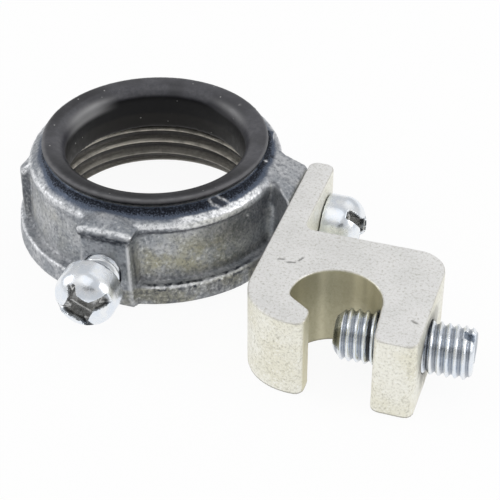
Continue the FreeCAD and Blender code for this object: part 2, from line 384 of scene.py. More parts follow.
def fine_copy(node, voxel, easing, prepare=None):
    """An even mesh of a solid, in millimetres, with its edges eased by so many rounds of smoothing."""
    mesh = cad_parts[node].data.copy()
    mesh.transform(Matrix.Scale(1.0 / millimetre, 4))
    if prepare:
        prepare(mesh)
    carrier = bpy.data.objects.new(node + "_carrier", mesh)
    bpy.context.scene.collection.objects.link(carrier)
    remesh = carrier.modifiers.new("even", "REMESH")
    remesh.mode = "VOXEL"
    remesh.voxel_size = voxel
    smooth = carrier.modifiers.new("eased", "SMOOTH")
    smooth.factor = 0.5
    smooth.iterations = easing
    evaluated = carrier.evaluated_get(bpy.context.evaluated_depsgraph_get())
    fine = bpy.data.meshes.new_from_object(evaluated)
    bpy.data.objects.remove(carrier)
    return fine


def links_of(mesh):
    """Both ends of every edge, and how many edges meet at each point."""
    ends = np.zeros(len(mesh.edges) * 2, dtype=np.int64)
    mesh.edges.foreach_get("vertices", ends)
    first, second = ends.reshape(-1, 2).T
    return first, second, np.bincount(ends, minlength=len(mesh.vertices))


def averaged(values, links):
    """Mean of the values at each point's neighbours."""
    first, second, count = links
    total = np.bincount(first, values[second], len(count)) + np.bincount(second, values[first], len(count))
    return total / count


def ease_zone(mesh, share, rounds):
    """Smooths the surface where share is above 0."""
    links = links_of(mesh)
    points = points_of(mesh)
    for _ in range(rounds):
        mean = np.stack([averaged(points[:, axis], links) for axis in range(3)], axis=1)
        points = points + 0.5 * share[:, None] * (mean - points)
    set_points(mesh, points)


def mark_edges(mesh, spread):
    """Stores how far each point stands out as an edge or, when negative, lies in a corner."""
    points = points_of(mesh)
    normals = normals_of(mesh)
    links = links_of(mesh)
    first, second, count = links
    step = points[second] - points[first]
    step = step / np.maximum(np.linalg.norm(step, axis=1), 1e-6)[:, None]
    drop = np.bincount(first, -(step * normals[first]).sum(1), len(points))
    drop = drop + np.bincount(second, (step * normals[second]).sum(1), len(points))
    edge = drop / count
    for _ in range(spread):
        edge = 0.5 * edge + 0.5 * averaged(edge, links)
    store(mesh, "edge", edge)


def thread_wave(along, turn, pitch, crest_at):
    """1 on a thread's crests and 0 in its roots, with a small flat on both."""
    flat = 0.07
    phase = (along - crest_at) / pitch - turn / (2.0 * math.pi)
    from_crest = np.abs(phase - np.round(phase))
    return 1.0 - np.clip((from_crest - flat) / (0.5 - 2.0 * flat), 0.0, 1.0)


def cut_outer_thread(mesh, start, axis, zero, radius, pitch, depth, crest_at, end):
    """Cuts a thread into a screw's shank from its tip to end."""
    points = points_of(mesh)
    along, reach, turn, out = round_axis(points, start, axis, zero)
    run_out = close_by(along, end - 0.8 * pitch, end)
    groove = depth * (1.0 - thread_wave(along, turn, pitch, crest_at)) * run_out
    limit = radius - groove
    shank = (along < end) & (reach > limit)
    scale = np.where(shank, limit / np.maximum(reach, 0.01), 1.0)
    set_points(mesh, points + out * (scale - 1.0)[:, None])


def add_piece(mesh, name, node, body, material):
    """Sets a finished mesh into the scene in place of its solid."""
    mesh.transform(Matrix.Scale(millimetre, 4))
    mesh.shade_smooth()
    mesh.materials.clear()
    mesh.materials.append(material)
    piece = bpy.data.objects.new(name, mesh)
    bpy.context.scene.collection.objects.link(piece)
    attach(piece, body)
    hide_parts(node)


class Finish:
    """A material with a principled shader, and short ways to add the nodes that drive it."""

    def __init__(self, name):
        self.material = bpy.data.materials.new(name)
        self.material.use_nodes = True
        self.tree = self.material.node_tree
        self.shader = self.tree.nodes["Principled BSDF"]
        self.places = self.tree.nodes.new("ShaderNodeTexCoord").outputs["Object"]

    def put(self, value, socket):
        if isinstance(value, bpy.types.NodeSocket):
            self.tree.links.new(value, socket)
        else:
            socket.default_value = value

    def put_colour(self, value, socket):
        self.put(value if isinstance(value, bpy.types.NodeSocket) else (*value, 1.0), socket)

    def noise(self, size, detail=2.0, roughness=0.5):
        """Cloudy noise from 0 to 1 with lumps of that size in millimetres."""
        made = self.tree.nodes.new("ShaderNodeTexNoise")
        self.put(self.places, made.inputs["Vector"])
        made.inputs["Scale"].default_value = 1.0 / (size * millimetre)
        made.inputs["Detail"].default_value = detail
        made.inputs["Roughness"].default_value = roughness
        return made.outputs["Fac"]

    def cells(self, size):
        """Distance to scattered points that lie about size millimetres apart, as a share of that size."""
        made = self.tree.nodes.new("ShaderNodeTexVoronoi")
        self.put(self.places, made.inputs["Vector"])
        made.inputs["Scale"].default_value = 1.0 / (size * millimetre)
        return made.outputs["Distance"]

    def attribute(self, name):
        """What a mesh keeps under that name, or 0 where it keeps nothing."""
        made = self.tree.nodes.new("ShaderNodeAttribute")
        made.attribute_name = name
        return made.outputs["Fac"]

    def scaled(self, value, low, high, to_low=0.0, to_high=1.0):
        """Goes from to_low to to_high, eased, as the value goes from low to high."""
        made = self.tree.nodes.new("ShaderNodeMapRange")
        made.interpolation_type = "SMOOTHSTEP"
        self.put(value, made.inputs["Value"])
        made.inputs["From Min"].default_value = low
        made.inputs["From Max"].default_value = high
        made.inputs["To Min"].default_value = to_low
        made.inputs["To Max"].default_value = to_high
        return made.outputs["Result"]

    def math(self, operation, first, second):
        made = self.tree.nodes.new("ShaderNodeMath")
        made.operation = operation
        self.put(first, made.inputs[0])
        self.put(second, made.inputs[1])
        return made.outputs["Value"]

    def mix(self, share, first, second):
        """Colour that goes from first to second as share goes from 0 to 1."""
        made = self.tree.nodes.new("ShaderNodeMix")
        made.data_type = "RGBA"
        self.put(share, made.inputs["Factor"])
        self.put_colour(first, made.inputs[6])
        self.put_colour(second, made.inputs[7])
        return made.outputs[2]

    def bump(self, height, depth):
        """Surface normal for bumps of that depth in millimetres."""
        made = self.tree.nodes.new("ShaderNodeBump")
        made.inputs["Strength"].default_value = 1.0
        made.inputs["Distance"].default_value = depth * millimetre
        self.put(height, made.inputs["Height"])
        return made.outputs["Normal"]

    def finished(self, colour, metal, roughness, normal, specular=0.5):
        """The material, with these on its shader."""
        inputs = self.shader.inputs
        self.put(colour, inputs["Base Color"])
        self.put(metal, inputs["Metallic"])
        self.put(roughness, inputs["Roughness"])
        self.put(normal, inputs["Normal"])
        self.put(specular, inputs["Specular IOR Level"])
        return self.material


def zinc_casting():
    """Die-cast zinc, mottled grey, stained yellow and rubbed bright on its edges, with soot and painted
    shade by the liner, painted shade in hollows, painted glints, and painted light and shade on the bore's
    thread.
    """
    dull_zinc = (0.31, 0.33, 0.36)
    pale_zinc = (0.50, 0.51, 0.53)
    yellow_stain = (0.385, 0.375, 0.29)
    dark_speck = (0.13, 0.14, 0.16)
    pale_speck = (0.74, 0.75, 0.76)
    worn_edge = (0.78, 0.79, 0.80)
    thread_root_shade = (0.15, 0.14, 0.12)
    thread_crest_highlight = (0.60, 0.565, 0.49)
    corner_shade = (0.05, 0.05, 0.055)
    thin_soot_and_shade = (0.098, 0.120, 0.165)
    thick_soot_and_shade = (0.010, 0.012, 0.018)
    dark_soil_and_shade = (0.042, 0.047, 0.06)
    wear_and_glint_bright = (0.93, 0.94, 0.96)

    look = Finish("zinc_casting_fine")
    clouds = look.noise(4.0, detail=4.0, roughness=0.6)
    specks = look.noise(0.42, detail=3.0, roughness=0.65)
    colour = look.mix(look.scaled(clouds, 0.35, 0.65), dull_zinc, pale_zinc)
    stain = look.scaled(look.noise(3.0, detail=4.0, roughness=0.65), 0.38, 0.62, 0.15, 1.0)
    stain = look.math("MULTIPLY", stain, look.attribute("stain"))
    colour = look.mix(stain, colour, yellow_stain)
    colour = look.mix(look.scaled(specks, 0.48, 0.68, 0.0, 0.55), colour, dark_speck)
    colour = look.mix(look.scaled(specks, 0.30, 0.44, 0.5, 0.0), colour, pale_speck)
    ragged = look.math("ADD", look.attribute("edge"), look.scaled(specks, 0.3, 0.7, -0.05, 0.05))
    colour = look.mix(look.scaled(ragged, 0.075, 0.18, 0.0, 0.65), colour, worn_edge)
    # Painted highlight on the bore thread's crests, broken up, and painted shade in its roots.
    broken = look.scaled(look.noise(1.6, detail=4.0, roughness=0.6), 0.35, 0.6, 0.35, 1.0)
    crest_highlight = look.math("MULTIPLY", look.attribute("crest_highlight"), broken)
    colour = look.mix(look.attribute("bore"), colour, look.mix(crest_highlight, thread_root_shade, thread_crest_highlight))
    # Painted shade in concave corners.
    dirt_and_shade = look.scaled(look.attribute("edge"), -0.12, -0.03, 0.6, 0.0)
    colour = look.mix(dirt_and_shade, colour, corner_shade)
    # Soot and painted shade on the shoulder under the liner's rim.
    grit = look.scaled(look.noise(0.2, detail=3.0, roughness=0.7), 0.34, 0.66, 0.78, 1.2)
    soot_and_shade = look.math("MULTIPLY", look.attribute("soot_and_shade"), grit)
    colour = look.mix(look.scaled(soot_and_shade, 0.0, 0.5), colour, thin_soot_and_shade)
    colour = look.mix(look.scaled(soot_and_shade, 0.6, 1.0), colour, thick_soot_and_shade)
    # Dirt, cuts and pits, with painted shade under the lip and bead, in grooves and corners and beside the
    # flash.
    soil_and_shade = look.math("MULTIPLY", look.attribute("soil_and_shade"), look.scaled(specks, 0.3, 0.55, 0.6, 1.0))
    colour = look.mix(soil_and_shade, colour, dark_soil_and_shade)
    # Rubbed wear on edges and flash, with painted glints.
    rubbed = look.math("MULTIPLY", look.attribute("rubbed"), look.scaled(specks, 0.42, 0.64, 1.0, 0.35))
    colour = look.mix(rubbed, colour, wear_and_glint_bright)
    grain = look.math("ADD", look.noise(0.35, detail=3.0, roughness=0.6), look.noise(1.1))
    return look.finished(
        colour=colour,
        metal=0.85,
        roughness=look.scaled(specks, 0.3, 0.7, 0.38, 0.56),
        normal=look.bump(grain, 0.07),
    )


def black_plastic():
    """Black moulded plastic, half matt, with a film of dust and painted sheen on the mouth, painted
    highlights on the mouth's sides and rim, painted shade in the throat with painted bounce light low in it,
    and a few bright specks.
    """
    thin_dust_sheen = (0.046, 0.046, 0.055)
    thick_dust_sheen = (0.075, 0.075, 0.086)
    wiped_film = (0.026, 0.026, 0.032)
    throat_shade_black = (0.004, 0.004, 0.005)
    throat_bounce_light = (0.014, 0.013, 0.012)
    sheen_grey = (0.29, 0.29, 0.295)
    rubbed_edge = (0.16, 0.16, 0.17)
    dust_speck = (0.60, 0.60, 0.58)

    look = Finish("black_plastic_fine")
    clouds = look.noise(0.5, detail=3.0, roughness=0.6)
    dust_and_sheen = look.mix(look.scaled(clouds, 0.3, 0.7), thin_dust_sheen, thick_dust_sheen)
    wiped = look.scaled(look.noise(4.0, detail=3.0, roughness=0.6), 0.42, 0.62, 0.0, 0.75)
    dust_and_sheen = look.mix(wiped, dust_and_sheen, wiped_film)
    # Black plastic deepened by painted shade in the throat, lighter low down with painted bounce light.
    throat = look.mix(look.attribute("low"), throat_shade_black, throat_bounce_light)
    # Dust film and painted sheen on the mouth.
    colour = look.mix(look.attribute("dust_and_sheen"), throat, dust_and_sheen)
    # Painted highlights on the mouth's sides and along the rim's edge.
    colour = look.mix(look.attribute("painted_sheen"), colour, sheen_grey)
    rubbed = look.scaled(look.attribute("edge"), 0.05, 0.16, 0.0, 0.6)
    colour = look.mix(rubbed, colour, rubbed_edge)
    dust = look.scaled(look.cells(1.5), 0.05, 0.085, 0.6, 0.0)
    dust = look.math("MULTIPLY", dust, look.scaled(look.noise(3.0), 0.44, 0.56))
    dust = look.math("MAXIMUM", dust, look.attribute("dust"))
    colour = look.mix(dust, colour, dust_speck)
    return look.finished(
        colour=colour,
        metal=0.0,
        roughness=look.scaled(look.noise(0.8, detail=3.0, roughness=0.6), 0.3, 0.7, 0.34, 0.46),
        normal=look.bump(clouds, 0.012),
        specular=look.scaled(look.attribute("dust_and_sheen"), 0.0, 1.0, 0.2, 0.6),
    )


def bright_zinc():
    """Bright zinc plate with a cold sheen, dull in the drive recess, with painted shade in corners, in the
    recess's walls and in the roots of threads, and painted shadows in the thread beside the jaw.
    """
    cold_zinc = (0.78, 0.83, 0.90)
    white_zinc = (0.90, 0.92, 0.94)
    dull_recess = (0.44, 0.44, 0.43)
    pale_recess = (0.62, 0.62, 0.61)
    corner_shade = (0.14, 0.15, 0.18)
    thread_root_shade = (0.30, 0.33, 0.38)
    shade_black = (0.012, 0.012, 0.012)

    look = Finish("bright_zinc_fine")
    clouds = look.noise(1.6, detail=3.0, roughness=0.6)
    colour = look.mix(look.scaled(clouds, 0.35, 0.65), cold_zinc, white_zinc)
    recess = look.mix(look.scaled(look.noise(0.5), 0.4, 0.6), dull_recess, pale_recess)
    colour = look.mix(look.attribute("recess"), colour, recess)
    # Painted shade in concave corners.
    dirt_and_shade = look.scaled(look.attribute("edge"), -0.24, -0.08, 0.7, 0.0)
    colour = look.mix(dirt_and_shade, colour, corner_shade)
    # Painted shade in the roots of the threads.
    colour = look.mix(look.attribute("root_shade"), colour, thread_root_shade)
    # Painted shade in the recess's walls, and painted shadows in the thread beside the jaw.
    colour = look.mix(look.attribute("painted_shade"), colour, shade_black)
    return look.finished(
        colour=colour,
        metal=1.0,
        roughness=look.scaled(clouds, 0.3, 0.7, 0.2, 0.32),
        normal=look.bump(look.noise(0.4), 0.012),
    )


def tin_plate():
    """Pale tin plate, finely speckled, warmer on the drawn sides and dull bronze in the wire hole, with
    painted shade on part of the hole's wall, nicks, and painted shadows along the foot and by the clamping
    screw.
    """
    sawn_dull = (0.86, 0.858, 0.845)
    sawn_pale = (0.93, 0.925, 0.915)
    drawn_dull = (0.86, 0.84, 0.72)
    drawn_pale = (0.92, 0.91, 0.83)
    dark_speck = (0.52, 0.51, 0.45)
    pale_speck = (0.98, 0.98, 0.96)
    brown_blot = (0.36, 0.34, 0.24)
    worn_edge = (0.48, 0.46, 0.40)
    dark_streak_and_shade = (0.42, 0.395, 0.27)
    pale_streak = (0.74, 0.70, 0.52)
    nick_and_shadow_dark = (0.08, 0.075, 0.065)

    look = Finish("tin_plate_fine")
    specks = look.noise(0.32, detail=3.0, roughness=0.7)
    blots = look.noise(0.3, detail=3.0, roughness=0.6)
    clouds = look.scaled(look.noise(5.0, detail=3.0, roughness=0.5), 0.35, 0.65)
    sawn = look.mix(clouds, sawn_dull, sawn_pale)
    drawn = look.mix(clouds, drawn_dull, drawn_pale)
    colour = look.mix(look.attribute("side"), sawn, drawn)
    colour = look.mix(look.scaled(specks, 0.48, 0.70, 0.0, 0.6), colour, dark_speck)
    colour = look.mix(look.scaled(specks, 0.32, 0.44, 0.7, 0.0), colour, pale_speck)
    patchy = look.scaled(look.noise(4.0, detail=3.0, roughness=0.6), 0.4, 0.62)
    blotted = look.math("MULTIPLY", look.scaled(blots, 0.52, 0.70, 0.0, 0.45), look.attribute("side"))
    colour = look.mix(look.math("MULTIPLY", blotted, patchy), colour, brown_blot)
    edge = look.scaled(look.attribute("edge"), 0.06, 0.15, 0.0, 0.6)
    colour = look.mix(edge, colour, worn_edge)
    # Streaks in the wire hole, with painted shade on part of its wall.
    streaks_and_shade = look.mix(look.attribute("streaks_and_shade"), dark_streak_and_shade, pale_streak)
    colour = look.mix(look.attribute("hole"), colour, streaks_and_shade)
    # Nicks, and painted shadows along the foot and on the jaw's side by the clamping screw.
    colour = look.mix(look.attribute("dark_marks"), colour, nick_and_shadow_dark)
    return look.finished(
        colour=colour,
        metal=0.85,
        roughness=look.scaled(specks, 0.3, 0.7, 0.42, 0.58),
        normal=look.bump(look.math("ADD", specks, look.noise(1.2)), 0.035),
    )


class CastingSkin:
    """Marks on the casting's skin, each as a share from 0 to about 1 at every point of its mesh."""

    def __init__(self, mesh):
        self.points = points_of(mesh)
        self.normals = normals_of(mesh)
        self.x, self.y, self.z = self.points.T
        self.reach, self.turn = round_ring(self.points)
        self.outside = off_bore(self.points)
        self.patches = rough(self.points, size=2.0, seed=8)
        self.lumps = rough(self.points, size=0.55, seed=7)
        self.jags = rough(self.points, size=0.35, seed=11) + 0.6 * self.lumps
        self.on_lock = window(self.x, -lock_boss_half, lock_boss_half, 0.2) * (self.y < lock_boss_root)
        self.right_side = window(self.turn, *right_side_turns)
        self.ridge_gap = from_line(self.points, lock_corner_low, lock_corner_high)
        self.ledge_gap = np.hypot(self.reach - ledge_radius, self.z - ledge_height)
        self.flash_gap = self.ledge_gap + 0.2 * self.jags
        self.scar_gap = from_line(self.points, scar_start, scar_end) + 0.15 * self.lumps

    def lip(self):
        """Wear along the upper edge of the lip round the shoulder."""
        gap = np.hypot(self.reach - lip_edge_radius, self.z - lip_edge_height) + 0.12 * self.lumps
        right = 0.4 * window(self.turn, *right_lip_turns)
        left = 0.15 * window(self.turn, *left_lip_turns)
        return close_by(gap, *lip_width) * (0.55 + right + left)

    def lip_face(self):
        """Wear on the lip's face beside the lug boss."""
        band = window(self.reach + 0.1 * self.lumps, *lip_face_reach)
        above = ramp(self.z, *lip_face_rise)
        return band * above * window(self.turn, *lip_face_turns) * (1.1 + 0.4 * self.lumps)

    def bead(self):
        """Wear along the bead over the lock boss's face."""
        gap = np.hypot(self.y - lock_bead_y, self.z - lock_bead_height) + 0.12 * self.lumps
        return 0.8 * close_by(gap, *bead_width) * self.on_lock

    def ridge(self):
        """Ridge down the lock boss's right corner."""
        return close_by(self.ridge_gap + 0.08 * self.lumps, *ridge_width) * ramp(self.z, *ridge_rise)

    def flash(self):
        """Ragged flash on the flange's upper edge between the bosses."""
        return close_by(self.flash_gap, *flash_width) * window(self.turn, *flash_turns)

    def left_flash(self):
        """Ragged flash on the flange's upper edge left of the lock boss."""
        return close_by(self.flash_gap, *left_flash_width) * window(self.turn, *left_flash_turns)

    def boss_flash(self):
        """Ragged flash at the top of the lug boss's flare."""
        gap = from_line(self.points, boss_flash_start, boss_flash_end) + 0.2 * self.jags
        return close_by(gap, *boss_flash_width)

    def rib_top(self):
        """Wear on the top of the left rib."""
        return close_by(from_line(self.points, rib_top_low, rib_top_high), *rib_top_width)

    def scar(self):
        """Short cut in the shoulder."""
        return close_by(self.scar_gap, *scar_width)

    def scar_edge(self):
        """Bright rim round the cut."""
        return window(self.scar_gap, *scar_edge_gap)

    def pit(self):
        """Small dark pit in the shoulder by the lug boss."""
        return near_places(self.points, (dark_pit,), dark_pit_size)

    def under_lip_shade(self):
        """Painted shade under the lip."""
        band = window(self.z, *under_lip_height) * window(self.reach, *under_lip_reach)
        return band * (1.0 - self.on_lock) * window(self.turn, *under_lip_turns)

    def lip_shade(self):
        """Painted shade on the lower half of the lip beside the lock boss."""
        band = window(self.z, *lip_shade_height) * (self.reach > lip_shade_radius)
        return band * window(self.turn, *lip_shade_turns)

    def under_bead_shade(self):
        """Jagged painted shade under the bead over the lock boss's face."""
        band = window(self.z + 0.25 * self.lumps, *under_bead_height) * self.on_lock
        return band * (self.y < lock_face_root) * (0.9 + 0.6 * self.jags)

    def flash_shade(self):
        """Broken line of painted shade beside the flash."""
        breaks = ramp(rough(self.points, size=0.8, seed=12), -0.1, 0.12)
        line = window(self.ledge_gap + 0.15 * self.lumps, *flash_shade_gap)
        return line * breaks * window(self.turn, *flash_shade_turns)

    def groove(self):
        """Painted shade in the groove to the right of the lock boss's ridge."""
        beside = (self.x > lock_corner_x) * (self.y < lock_boss_root) * (self.z < lock_corner_high[2])
        return window(self.ridge_gap, *groove_gap) * beside

    def rib_side_shade(self):
        """Painted shade on the side of the left rib that faces the lock boss."""
        along = self.points @ level_way(left_rib_turn)
        facing = self.normals @ level_way(left_rib_turn + 90.0)
        return ramp(facing, 0.5, 0.8) * (along > left_rib_root) * window(self.z, *left_rib_height)

    def ledge_line(self):
        """Dark line on the flange's top behind the flash."""
        band = window(self.reach + 0.15 * self.jags, *ledge_line_reach) * window(self.z, *ledge_line_height)
        return band * window(self.turn, *ledge_line_turns)

    def ledge_root_shade(self):
        """Painted shade in the corner between the flange's top and the side."""
        band = window(self.reach + 0.1 * self.jags, *ledge_root_reach) * window(self.z, *ledge_root_height)
        return band * self.right_side

    def panel_shade(self):
        """Painted shade at the right and the bottom of the side between the bosses."""
        right = ramp(self.turn, *panel_dark_turns) * ramp(self.z, *panel_dark_height)
        bottom = close_by(self.z, *panel_bottom_height)
        panel = window(self.turn, *panel_turns) * window(self.z, *panel_height) * (self.reach < panel_outer)
        return (right + 0.6 * bottom) * panel

    def flange_dirt(self):
        """Patchy dirt on the flange's edge between the bosses."""
        edge = window(self.z, *flange_dirt_height) * (self.reach > flange_inner) * self.right_side
        return edge * (0.46 + 0.3 * self.patches + 0.35 * self.jags)

    def rubbed(self):
        worn = strongest(
            (1.0, self.lip()),
            (1.0, self.lip_face()),
            (1.0, self.bead()),
            (0.35, self.ridge()),
            (1.0, self.flash()),
            (0.7, self.left_flash()),
            (1.0, self.boss_flash()),
            (0.9, self.rib_top()),
            (0.6, self.scar_edge()),
        )
        # A painted glint beside the dark pit, and two small bright pits.
        glints_and_pits = near_places(self.points, glint_and_bright_pits, glint_and_pit_size)
        return np.maximum(np.clip(worn * self.outside, 0.0, 1.0), glints_and_pits)

    def soot_and_shade(self):
        """Soot and painted shade on the shoulder, from the liner's rim to a distance that changes round the
        ring.
        """
        edge = soot_and_shade_radius + 0.12 * self.patches - 0.35 * window(self.turn, *left_soot_and_shade_turns)
        edge = edge + 0.1 * window(self.turn, *front_soot_and_shade_turns) + 0.2 * window(self.turn, *right_soot_and_shade_turns)
        faces_up = ramp(self.normals[:, 2], 0.2, 0.5)
        return close_by(self.reach - edge, *soot_and_shade_fade) * faces_up * (self.z > shoulder_bottom) * self.outside

    # Dirt, cuts and pits, with painted shade under the lip and bead, in grooves and corners and beside the
    # flash.
    def soil_and_shade(self):
        dirt_and_shade = strongest(
            (0.8, self.under_lip_shade()),
            (0.6, self.lip_shade()),
            (0.9, self.under_bead_shade()),
            (1.0, self.flash_shade()),
            (0.6, self.groove()),
            (0.7, self.rib_side_shade()),
            (0.3, self.ledge_line()),
            (0.4, self.ledge_root_shade()),
            (0.5, self.panel_shade()),
            (1.0, self.flange_dirt()),
            (1.0, self.scar()),
            (1.0, self.pit()),
        )
        return np.clip(dirt_and_shade, 0.0, 1.0) * self.outside

    def stain(self):
        """Yellow stain on the side and on the flange's edge."""
        right = window(self.turn, *right_stain_turns) * (1.0 - 0.5 * ramp(self.z, *stain_fade_height))
        left = 0.25 * window(self.turn, *left_stain_turns)
        side = window(self.z, *panel_stain_height) * (right + left + 0.25 * self.patches)
        edge = window(self.z, *flange_stain_height) * (self.reach > flange_inner) * self.right_side
        return np.clip(side + 0.85 * edge, 0.0, 1.0)

    def raised(self):
        """How far the skin stands out, or is sunk when negative, in millimetres."""
        bead = 0.10 * self.lumps * (self.bead() + 0.5 * self.under_bead_shade())
        flash = 0.14 * self.flash() * (0.6 + 0.8 * self.lumps)
        lip = 0.05 * self.lumps * self.lip()
        dents = 0.12 * self.scar() + 0.12 * self.pit()
        return (0.10 * self.ridge() + flash + bead + lip - dents) * self.outside


def fill_flare(mesh):
    """Adds a bead to the root of the lug boss's flare, where the tapped hole breaks out in a narrow slit."""
    low = Vector(flare_fill_low)
    way = Vector(flare_fill_high) - low
    turned = way.to_track_quat("Z", "Y").to_matrix().to_4x4()
    bead = bmesh.new()
    bead.from_mesh(mesh)
    bmesh.ops.create_cone(
        bead,
        cap_ends=True,
        segments=flare_fill_sides,
        radius1=flare_fill_radius,
        radius2=flare_fill_radius,
        depth=way.length,
        matrix=Matrix.Translation(low + way / 2.0) @ turned,
    )
    bead.to_mesh(mesh)
    bead.free()


def thread_bore(mesh):
    """Raises the conduit's thread from the bore's wall, and stores where its wall is and a painted highlight
    on its crests that grows higher up.
    """
    points = points_of(mesh)
    along, reach, turn, out = round_axis(points, (0.0, 0.0, 0.0), up, level_way(far_turn))
    wall = (np.abs(reach - bore_radius) < bore_wall_near) & (along < bore_wall_top)
    ends = ramp(along, *bore_run_in) * close_by(along, *bore_run_out)
    wave = thread_wave(along, turn, bore_pitch, bore_crest_height)
    off_holes = off_screws(points, *off_thread_reach)
    rise = bore_thread_height * wave * ends * wall * off_holes
    set_points(mesh, points - out * (rise / np.maximum(reach, 0.01))[:, None])
    ease_zone(mesh, wall * 0.8, rounds=2)
    store(mesh, "bore", wall * 0.92)
    store(mesh, "crest_highlight", ramp(wave, 0.7, 1.0) * (0.3 + 0.7 * ramp(along, *bore_light_height)))


def ease_casting(mesh):
    """Softens the roof of the lock boss and the root of the lug boss's flare."""
    points = points_of(mesh)
    x, y, z = points.T
    faces_up = ramp(normals_of(mesh)[:, 2], 0.3, 0.5)
    lock_roof = window(x, *lock_roof_across) * close_by(y, *lock_roof_back) * ramp(z, *lock_roof_height)
    ease_zone(mesh, faces_up * lock_roof, soft_rounds)
    flare_root = close_by(from_line(points, flare_root_low, flare_root_high), *flare_root_width)
    off_hole = ramp(np.hypot(y, z - screw_height), *off_flare_hole_reach)
    ease_zone(mesh, flare_root * np.maximum(off_hole, z > flare_hole_top), soft_rounds)


def make_casting(material):
    mesh = fine_copy("bushing_body", casting_voxel, easing=2, prepare=fill_flare)
    thread_bore(mesh)
    ease_casting(mesh)
    points = points_of(mesh)
    floor_side = ramp(points[:, 2], *floor_rise)
    off_heads = off_screws(points, *off_head_reach)
    waves = waves_of(points, casting_waves) * off_bore(points) * floor_side * off_heads
    set_points(mesh, points + normals_of(mesh) * (waves - casting_sink)[:, None])
    skin = CastingSkin(mesh)
    # Rubbed wear, with painted glints.
    store(mesh, "rubbed", skin.rubbed())
    store(mesh, "soot_and_shade", skin.soot_and_shade())
    store(mesh, "soil_and_shade", skin.soil_and_shade())
    store(mesh, "stain", skin.stain())
    set_points(mesh, skin.points + skin.normals * skin.raised()[:, None])
    mark_edges(mesh, spread=3)
    add_piece(mesh, "casting_fine", "bushing_body", "ring", material)


def make_liner(material):
    mesh = fine_copy("insulating_liner", liner_voxel, easing=3)
    points = points_of(mesh)
    z = points[:, 2]
    reach, turn = round_ring(points)
    faces_up = ramp(normals_of(mesh)[:, 2], 0.15, 0.75)

    # Dust film and painted sheen on the mouth, less on the far side, with painted shade on the front, the
    # left and the rim's outer side.
    near_side_sheen = 1.0 - window(turn, *far_side_turns)
    front_shade = window(turn, *mouth_front_turns) * (1.0 - 0.5 * ramp(reach, *mouth_front_fade))
    left = window(turn, *mouth_left_turns) * ramp(reach, *mouth_left_rise)
    rim_side_shade = ramp(reach, *rim_side_shade_reach) * (1.0 - faces_up)
    dust_and_sheen = ramp(z + 0.7 * near_side_sheen, *mouth_height) * (1.0 - 0.7 * front_shade) * (1.0 - 0.45 * left)
    store(mesh, "dust_and_sheen", dust_and_sheen * (1.0 - rim_side_shade))

    # Painted highlight along the rim's edge, and painted sheen on the mouth's left and right.
    rim_highlight = window(reach, *rim_highlight_reach) * faces_up * window(turn, *rim_highlight_turns)
    rim_highlight = 0.4 * rim_highlight * (0.7 + 0.6 * rough(points, size=0.8, seed=15))
    left_sheen = window(turn, *left_sheen_turns) * window(z, *left_sheen_height)
    right_sheen = 0.5 * window(turn, *right_sheen_turns) * window(z, *right_sheen_height)
    painted_sheen = (left_sheen + right_sheen) * (reach < sheen_reach) + rim_highlight
    store(mesh, "painted_sheen", np.clip(painted_sheen, 0.0, 1.0))

    # Painted bounce light low in the throat.
    store(mesh, "low", close_by(z, *throat_end_height))
    store(mesh, "dust", near_places(points, dust_places, dust_size))
    mark_edges(mesh, spread=2)
    add_piece(mesh, "liner_fine", "insulating_liner", "ring", material)


def true_head(mesh, start, axis, zero):
    """Sets what lies close to a screw head's surface exactly on it, and marks the recess and painted shade
    just inside its rim.
    """
    points = points_of(mesh)
    along, reach, _, out = round_axis(points, start, axis, zero)
    rise = head_height - head_side_height
    high = np.maximum(along - head_side_height, 0.0) / rise
    size = np.sqrt(high * high + (reach / head_radius) ** 2)
    gap = (1.0 - size) * np.minimum(rise, head_radius)
    head = (along > head_snap_low) & (np.abs(gap) < head_snap_gap)
    grow = np.where(head, 1.0 / np.maximum(size, 0.01), 1.0) - 1.0
    lift = np.where(along > head_side_height, (along - head_side_height) * grow, 0.0)
    set_points(mesh, points + out * grow[:, None] + np.outer(lift, np.array(axis)))
    inside = (along > recess_low) & (reach < recess_reach)
    store(mesh, "recess", ramp(gap, *recess_depth) * inside)
    patches = ramp(rough(points, size=0.9, seed=13), -0.5, 0.1)
    store(mesh, "painted_shade", 0.8 * window(gap, *recess_rim_depth) * inside * patches)


def make_small_screw(node, under, axis, material):
    """Round-headed screw, from the place under its head along its axis."""
    mesh = fine_copy(node, small_screw_voxel, easing=3)
    true_head(mesh, under, axis, up)
    cut_outer_thread(
        mesh, under, axis, up, small_radius, small_pitch, small_thread_depth, 0.0, small_thread_end
    )
    mark_edges(mesh, spread=2)
    add_piece(mesh, node + "_fine", node, node, material)


def make_clamp_screw(material):
    mesh = fine_copy("clamp_screw", clamp_voxel, easing=2)
    axis = level_way(clamp_turn)
    zero = np.array(clamp_crest_way)
    zero = zero - axis * (zero @ axis)
    zero = zero / np.linalg.norm(zero)
    cut_outer_thread(
        mesh,
        clamp_tip,
        axis,
        zero,
        clamp_radius,
        clamp_pitch,
        clamp_thread_depth,
        clamp_crest_at,
        clamp_thread_end,
    )
    ease_zone(mesh, np.full(len(mesh.vertices), 0.8), rounds=3)
    along, _, turn, _ = round_axis(points_of(mesh), clamp_tip, axis, zero)
    roots = 1.0 - thread_wave(along, turn, clamp_pitch, clamp_crest_at)
    # Painted shade in the thread's roots.
    store(mesh, "root_shade", 0.85 * ramp(roots, 0.35, 0.8))
    # Painted shadows in the roots beside both faces of the jaw.
    by_jaw = window(along, *inside_shade_along) + window(along, *outside_shade_along)
    store(mesh, "painted_shade", 0.9 * ramp(roots, 0.45, 0.8) * np.clip(by_jaw, 0.0, 1.0))
    mark_edges(mesh, spread=2)
    add_piece(mesh, "clamp_screw_fine", "clamp_screw", "clamp_screw", material)


